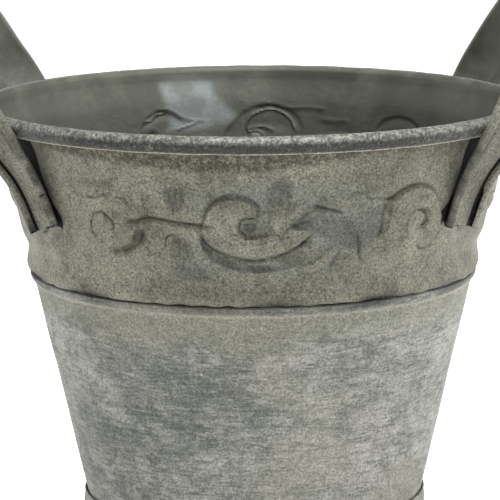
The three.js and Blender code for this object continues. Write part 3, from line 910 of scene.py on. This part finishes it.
def solder_patch(name, replaced, azimuth, z, half_width, half_height, tilt_deg, thickness, seed,
                 dark_amount=0.0):
    """A low mound of solder draped on the wall, thick in the middle, with a ragged edge."""
    steps = np.linspace(-1.25, 1.25, 41)
    u, v = np.meshgrid(steps, steps, indexing="ij")
    random = np.random.default_rng(seed)
    angle = np.arctan2(v, u)
    ragged = 1 + sum(random.uniform(0.03, 0.11) * np.cos(k * angle + random.uniform(0, 6.28))
                     for k in range(2, 9))
    ripple = sum(np.cos(a * u + b * v + c) for a, b, c in random.uniform(-9, 9, (6, 3))) / 6
    share = np.hypot(u, v) / ragged
    height = thickness * (1 - np.clip(share, 0, 1.3) ** 2.2) * (1 + 0.3 * ripple)
    height = np.maximum(height, -0.25)
    # painted shade at the two top corners, where the tube ends stand on the solder
    tube_end_shade = np.exp(-((np.abs(u) - 0.9) / 0.17) ** 2 - ((v - 1.05) / 0.42) ** 2)
    tilt = math.radians(tilt_deg)
    x = half_width * u * math.cos(tilt) - half_height * v * math.sin(tilt)
    up = half_width * u * math.sin(tilt) + half_height * v * math.cos(tilt)
    place_z = z + up
    place_azimuth = azimuth + np.degrees(x / wall_radius(z))
    relief, _ = stamping(place_azimuth, place_z, *OUTSIDE)
    radius = wall_radius(place_z) + np.where(place_z > FRIEZE_LOW, relief, 0.0)
    outer = turned_points(radius + height, place_z, place_azimuth)
    inner = turned_points(radius - SOLDER_SINK, place_z, place_azimuth)
    n = len(steps)
    quads = grid_faces(n, n, False, False)
    faces = [quad[::-1] for quad in quads]
    faces += [[n * n + i for i in quad] for quad in quads]
    faces += [[a, n * n + a, n * n + b, b] for a, b in border_edges(n)]
    points = np.vstack([outer.reshape(-1, 3), inner.reshape(-1, 3)])
    patch = new_object(name, points, faces, "solder", {"grime_and_shade": np.tile((dark_amount * tube_end_shade).ravel(), 2)})
    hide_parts(replaced)
    return patch


def border_edges(n):
    """Pairs of neighbouring indices round the border of an n x n grid, in order."""
    loop = (list(range(n)) + [i * n + n - 1 for i in range(1, n)]
            + [n * n - 1 - i for i in range(1, n)] + [i * n for i in range(n - 2, 0, -1)])
    return list(zip(loop, loop[1:] + loop[:1]))


def make_foot_solders():
    """One patch under the cut end of each leg."""
    for side, shape in HANDLES.items():
        middle = 90 + shape["setback"]
        mirror = 1 if side == "right" else -1
        for place, sign in (("front", -1), ("rear", 1)):
            azimuth = mirror * (middle + sign * FOOT_AZIMUTH)
            tilt = mirror * sign * FOOT_SOLDER_TILT_DEG
            solder_patch(f"{side}_{place}_foot_solder", f"{side}_{place}_handle_solder",
                         azimuth, FOOT_SOLDER_HEIGHT, *FOOT_SOLDER_HALF, tilt, 0.7,
                         seed=40 + 7 * sign + len(side), dark_amount=1.0)


def make_seams():
    solder_patch("collar_seam", "collar_seam_solder", 90, 147.5, 2.0, 17.0, 0, 0.6, 61)
    solder_patch("body_seam", "body_seam_solder", 180, 71.5, 2.0, 37.0, 0, 0.6, 62)


# ---- materials

SPECULAR = 0.3                       # a dusty oxide skin reflects less than clean metal


class Graph:
    """Adds shader nodes to one material. A socket given as an input is linked, a value is set."""

    def __init__(self, name):
        self.material = bpy.data.materials.new(name)
        self.material.use_nodes = True
        self.tree = self.material.node_tree
        self.tree.nodes.clear()

    def add(self, kind, inputs=None, output=0, **settings):
        node = self.tree.nodes.new(kind)
        for key, value in settings.items():
            setattr(node, key, value)
        for key, value in (inputs or {}).items():
            if isinstance(value, bpy.types.NodeSocket):
                self.tree.links.new(value, node.inputs[key])
            else:
                node.inputs[key].default_value = value
        return node.outputs[output]

    def math(self, operation, a, b=0.0, clamp=False, c=0.0):
        inputs = {0: a, 1: b, 2: c}
        return self.add("ShaderNodeMath", inputs, operation=operation, use_clamp=clamp)

    def remap(self, value, low, high, to_low=0.0, to_high=1.0):
        inputs = {"Value": value, "From Min": low, "From Max": high,
                  "To Min": to_low, "To Max": to_high}
        return self.add("ShaderNodeMapRange", inputs, interpolation_type="SMOOTHSTEP")

    def noise(self, vector, scale, detail=4.0, roughness=0.55, distortion=0.0):
        return self.add("ShaderNodeTexNoise", {"Vector": vector, "Scale": scale, "Detail": detail,
                                               "Roughness": roughness, "Distortion": distortion})

    def stretch(self, vector, x, y, z):
        return self.add("ShaderNodeMapping", {"Vector": vector, "Scale": (x, y, z)})

    def mix(self, factor, a, b, blend="MIX"):
        inputs = {0: factor, 6: a, 7: b}
        return self.add("ShaderNodeMix", inputs, 2, data_type="RGBA", blend_type=blend)

    def attribute(self, name):
        return self.add("ShaderNodeAttribute", output=2, attribute_name=name)

    def tint(self, colour, attribute, amount, tone):
        """The colour, mixed towards a tone where the attribute is high."""
        return self.mix(self.math("MULTIPLY", self.attribute(attribute), amount), colour, tone)

    def add_output(self, shader):
        output = self.tree.nodes.new("ShaderNodeOutputMaterial")
        self.tree.links.new(shader, output.inputs["Surface"])


def grey(red, green, blue):
    """A display colour, 0 to 255, as the linear colour that the shader wants."""
    def linear(c):
        c /= 255
        return c / 12.92 if c <= 0.04045 else ((c + 0.055) / 1.055) ** 2.4
    return linear(red), linear(green), linear(blue), 1.0


# The near-black of grime, and of the painted shade and shadow in gaps, slots and on down-facing
# slopes.
GRIME_AND_SHADE_COLOUR = grey(11, 12, 10)
RIM_BAND_FADES_IN = (0.1600, 0.1690)  # metres: the brown band below the rim roll
RIM_BAND_ENDS = (0.1715, 0.1700)


def zinc(name, light, mid, dark, inner=None, brushed=False, metallic=0.35,
         roughness=(0.50, 0.72), collar=False, grain=1.0, has_grime_and_shade=True):
    """Weathered zinc: cloudy patina, fine grain, dirt in the creases, painted shade where the grime
    attribute marks it, optional brush strokes. `inner` is the light and dark colour of the inside; the
    last flag is for pieces that have grime and painted shade."""
    g = Graph(name)
    place = g.add("ShaderNodeTexCoord", output=3)
    clouds = g.noise(place, 24.0, 5.0, 0.6, 0.4)
    blotches = g.noise(place, 95.0, 6.0, 0.66)
    specks = g.noise(place, 520.0, 4.0, 0.8)

    colour = g.mix(g.remap(clouds, 0.38, 0.62), mid, light)
    colour = g.mix(g.remap(blotches, 0.50, 0.74, 0.0, 0.8), colour, dark)
    colour = g.mix(g.remap(blotches, 0.46, 0.26, 0.0, 0.6), colour, light)
    if brushed:
        colour = brush_strokes(g, place, colour, light, dark)
    coarse = grain
    if inner:
        colour = g.mix(g.attribute("inside"), colour, inner_colour(g, place, blotches, *inner))
        outside = g.math("SUBTRACT", 1.0, g.math("MULTIPLY", g.attribute("inside"), 0.9))
        coarse = g.math("MULTIPLY", outside, grain)
    if collar:
        colour = collar_patina(g, place, colour, clouds, blotches, specks)
    colour = add_grain(g, place, colour, specks, coarse, light, dark)
    spread = g.remap(specks, 0.35, 0.60, 1.15, 0.88)
    # the grime attribute holds painted shade and shadow as well as grime
    dirt = g.math("MULTIPLY", g.attribute("grime_and_shade"), spread, clamp=True)
    colour = g.mix(dirt, colour, GRIME_AND_SHADE_COLOUR)

    bump = g.math("ADD", g.math("MULTIPLY", specks, 0.6), blotches)
    normal = g.add("ShaderNodeBump", {"Height": bump, "Strength": 0.6, "Distance": 0.0004})
    rough = g.remap(blotches, 0.3, 0.7, *roughness)
    finish = {"Base Color": colour, "Normal": normal, "Metallic": metallic, "Roughness": rough,
              "Specular IOR Level": SPECULAR}
    if has_grime_and_shade:
        clean = g.math("SUBTRACT", 1.0, dirt)
        finish["Metallic"] = g.math("MULTIPLY", clean, metallic)
        finish["Roughness"] = g.math("MAXIMUM", rough, dirt)
    g.add_output(g.add("ShaderNodeBsdfPrincipled", finish))
    return g.material


def add_grain(g, place, colour, specks, coarse, light, dark):
    """Fine dark and light specks, and a sandy change of brightness."""
    dark_specks = g.remap(specks, 0.52, 0.70, 0.0, 0.45)
    light_specks = g.remap(specks, 0.48, 0.30, 0.0, 0.40)
    colour = g.mix(g.math("MULTIPLY", dark_specks, coarse), colour, dark)
    colour = g.mix(g.math("MULTIPLY", light_specks, coarse), colour, light)
    sand = g.noise(place, 1250.0, 3.0, 0.75)
    swing = g.math("MULTIPLY", g.math("SUBTRACT", sand, 0.5), 2.6)
    return g.mix(1.0, colour, g.math("MULTIPLY_ADD", swing, coarse, c=1.0), "MULTIPLY")


def brush_strokes(g, place, colour, light, dark):
    """Short level strokes, a few upright runs, and warm and rosy smears; darker and lighter areas that
    are partly painted shade and painted light; a painted highlight along the bead.
    """
    strokes = g.noise(g.stretch(place, 110, 110, 640), 1.0, 5.0, 0.75, 1.1)
    long_lines = g.noise(g.stretch(place, 16, 16, 420), 1.0, 5.0, 0.65)
    runs = g.noise(g.stretch(place, 330, 330, 60), 1.0, 5.0, 0.7, 0.5)
    smears = g.noise(g.stretch(place, 34, 34, 56), 1.0, 6.0, 0.7, 1.2)
    warmth = g.noise(place, 17.0, 3.0, 0.5)
    # darker and lighter areas: tone, with painted shade and painted light
    colour = g.tint(colour, "dull_and_shaded", 0.85, grey(92, 96, 91))
    colour = g.tint(colour, "bright_and_lit", 0.8, grey(142, 140, 135))
    for pattern, none_at, most_at, most, tone in (
            (smears, 0.50, 0.64, 0.75, grey(82, 88, 83)),
            (smears, 0.47, 0.34, 0.80, grey(154, 151, 147)),
            (strokes, 0.50, 0.62, 0.78, grey(78, 82, 78)),
            (strokes, 0.48, 0.37, 0.62, grey(150, 150, 143)),
            (long_lines, 0.54, 0.70, 0.40, dark),
            (runs, 0.53, 0.68, 0.50, light),
            (runs, 0.46, 0.34, 0.45, dark),
            (warmth, 0.52, 0.64, 0.45, grey(128, 125, 110))):
        colour = g.mix(g.remap(pattern, none_at, most_at, 0.0, most), colour, tone)
    colour = g.tint(colour, "warm", 0.6, grey(118, 117, 103))
    # painted highlight along the bottom of the bead
    return g.tint(colour, "bead_highlight", 0.8, grey(150, 148, 135))


def collar_patina(g, place, colour, clouds, blotches, specks):
    """Cooler sunk ground, brown dirt below the rim, the rubbed rim roll, a painted highlight along its
    lip, pale flux inside.
    """
    cool = g.math("MULTIPLY", g.attribute("cool"), g.remap(blotches, 0.38, 0.60, 0.85, 0.35))
    colour = g.mix(cool, colour, grey(104, 107, 102))
    height = g.add("ShaderNodeSeparateXYZ", {"Vector": place}, output=2)
    rising = g.remap(height, *RIM_BAND_FADES_IN, 0.0, 0.5)
    band = g.math("MULTIPLY", rising, g.remap(height, *RIM_BAND_ENDS))
    band = g.math("MULTIPLY", band, g.math("SUBTRACT", 1.0, g.attribute("inside")))
    band = g.math("MAXIMUM", band, g.attribute("soot"))
    band = g.math("MULTIPLY", band, g.remap(specks, 0.40, 0.58, 0.35, 0.95))
    colour = g.mix(band, colour, grey(60, 57, 45))
    colour = g.tint(colour, "roll", 0.8, grey(120, 121, 115))
    spots = g.math("MULTIPLY", g.remap(specks, 0.45, 0.57, 0.0, 0.85), g.attribute("roll"))
    colour = g.mix(spots, colour, grey(66, 68, 66))
    patches = g.remap(clouds, 0.35, 0.55, 0.75, 1.0)
    colour = g.tint(colour, "underside", g.math("MULTIPLY", patches, 0.92), grey(46, 47, 45))
    # painted highlight along the lip of the roll
    colour = g.mix(g.attribute("lip"), colour, grey(180, 176, 158))
    pale = g.math("MULTIPLY", g.attribute("pale"), g.remap(blotches, 0.40, 0.58, 1.0, 0.68))
    return g.mix(pale, colour, grey(116, 121, 120))


def inner_colour(g, place, blotches, light, dark):
    """The even, darker patina of the inside."""
    clouds = g.noise(place, 34.0, 4.0, 0.6)
    mottled = g.mix(g.remap(blotches, 0.35, 0.65), dark, light)
    return g.mix(g.remap(clouds, 0.38, 0.62), dark, mottled)


def paint(obj, material):
    obj.data.materials.clear()
    obj.data.materials.append(material)


# ---- stage, lights and camera

CAMERA_AT = (-1.1, -1067.0, 316.9)   # millimetres
CAMERA_DOWN = 0.1834                 # radians below the horizontal
CAMERA_ROLL = -0.0066
CAMERA_LENS = 213.95                 # for a 36 mm sensor
FLOOR_GLOW = 0.62                    # keeps the floor nearly white to the camera
FLOOR_HALF = 12.0                    # metres
SKY_STRENGTH = 0.38
LIGHTS_AIM = (0, 0, 0.14)
LIGHTS = {                           # place in metres, size in metres, power in watts
    "top_light": ((0.1, -0.15, 1.5), 0.8, 28),
    "key_light": ((0.9, -1.5, 1.3), 0.5, 22.5),
    "left_side_light": ((-1.5, 0.5, 0.5), 1.0, 12),
    "right_side_light": ((1.5, 0.4, 0.5), 1.0, 16),
}


def make_camera():
    data = bpy.data.cameras.new("camera")
    data.lens = CAMERA_LENS
    data.sensor_width = 36.0
    data.clip_end = 50.0
    camera = bpy.data.objects.new("camera", data)
    camera.matrix_world = (Matrix.Translation([c * MM for c in CAMERA_AT])
                           @ Matrix.Rotation(math.pi / 2 - CAMERA_DOWN, 4, "X")
                           @ Matrix.Rotation(CAMERA_ROLL, 4, "Z"))
    bpy.context.scene.collection.objects.link(camera)
    bpy.context.scene.camera = camera


def add_light(name, at, size, power):
    data = bpy.data.lights.new(name, "AREA")
    data.shape = "DISK"
    data.size = size
    data.energy = power
    light = bpy.data.objects.new(name, data)
    light.location = at
    direction = Vector(LIGHTS_AIM) - Vector(at)
    light.rotation_mode = "QUATERNION"
    light.rotation_quaternion = direction.to_track_quat("-Z", "Y")
    bpy.context.scene.collection.objects.link(light)


def make_stage():
    mesh = bpy.data.meshes.new("studio_floor")
    corners = ((-1, -1), (1, -1), (1, 1), (-1, 1))
    mesh.from_pydata([(x * FLOOR_HALF, y * FLOOR_HALF, 0) for x, y in corners], [], [(0, 1, 2, 3)])
    floor = bpy.data.objects.new("studio_floor", mesh)
    bpy.context.scene.collection.objects.link(floor)
    floor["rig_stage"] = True
    g = Graph("pale_floor")
    seen = g.add("ShaderNodeLightPath", output=0)
    glow = g.add("ShaderNodeMapRange", {"Value": seen, "To Min": 0.05, "To Max": FLOOR_GLOW})
    finish = {"Base Color": (0.85, 0.85, 0.85, 1), "Roughness": 0.9,
              "Emission Color": (1, 1, 1, 1), "Emission Strength": glow}
    g.add_output(g.add("ShaderNodeBsdfPrincipled", finish))
    paint(floor, g.material)

    world = bpy.data.worlds.new("studio")
    world.use_nodes = True
    background = world.node_tree.nodes["Background"]
    background.inputs["Color"].default_value = (1, 1, 1, 1)
    background.inputs["Strength"].default_value = SKY_STRENGTH
    bpy.context.scene.world = world
    bpy.context.scene.view_settings.view_transform = "Standard"
    for name, (at, size, power) in LIGHTS.items():
        add_light(name, at, size, power)


# ---- assembly

make_camera()
make_stage()

warm_zinc = zinc("warm_zinc", grey(124, 122, 108), grey(102, 101, 89), grey(74, 75, 67),
                 inner=(grey(92, 93, 84), grey(72, 73, 66)), collar=True, grain=1.35)
cool_zinc = zinc("cool_zinc", grey(134, 135, 129), grey(112, 114, 108), grey(86, 89, 85),
                 inner=(grey(92, 93, 86), grey(74, 76, 70)), brushed=True)
strap_zinc = zinc("strap_zinc", grey(122, 121, 109), grey(100, 99, 90), grey(70, 70, 63),
                  inner=(grey(112, 112, 104), grey(86, 87, 80)), grain=1.3)
dark_zinc = zinc("dark_zinc", grey(96, 97, 90), grey(78, 79, 72), grey(58, 60, 54), has_grime_and_shade=False)
solder_grey = zinc("solder_grey", grey(124, 123, 112), grey(104, 103, 94), grey(76, 76, 69))
wire_steel = zinc("wire_steel", grey(76, 76, 73), grey(60, 60, 57), grey(40, 40, 38),
                  metallic=0.8, roughness=(0.4, 0.6), has_grime_and_shade=False)

paint(make_collar(), warm_zinc)
paint(make_rim_wire(), wire_steel)
paint(make_lower_body(), cool_zinc)
paint(make_foot_ring(), cool_zinc)
paint(make_base(), dark_zinc)
paint(make_fillet("base_solder_ring", "base_solder", BASE_UNDERSIDE + BASE_THICKNESS, -SHEET, 51),
      solder_grey)
paint(make_fillet("joint_solder_ring", "collar_joint_solder", TONGUE_TOP, -SHEET - FILLET, 52),
      solder_grey)
for side in HANDLES:
    paint(make_handle(side), strap_zinc)
make_foot_solders()
make_seams()
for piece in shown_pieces():
    if piece.get("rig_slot") == "solder" and not piece.data.materials:
        paint(piece, solder_grey)
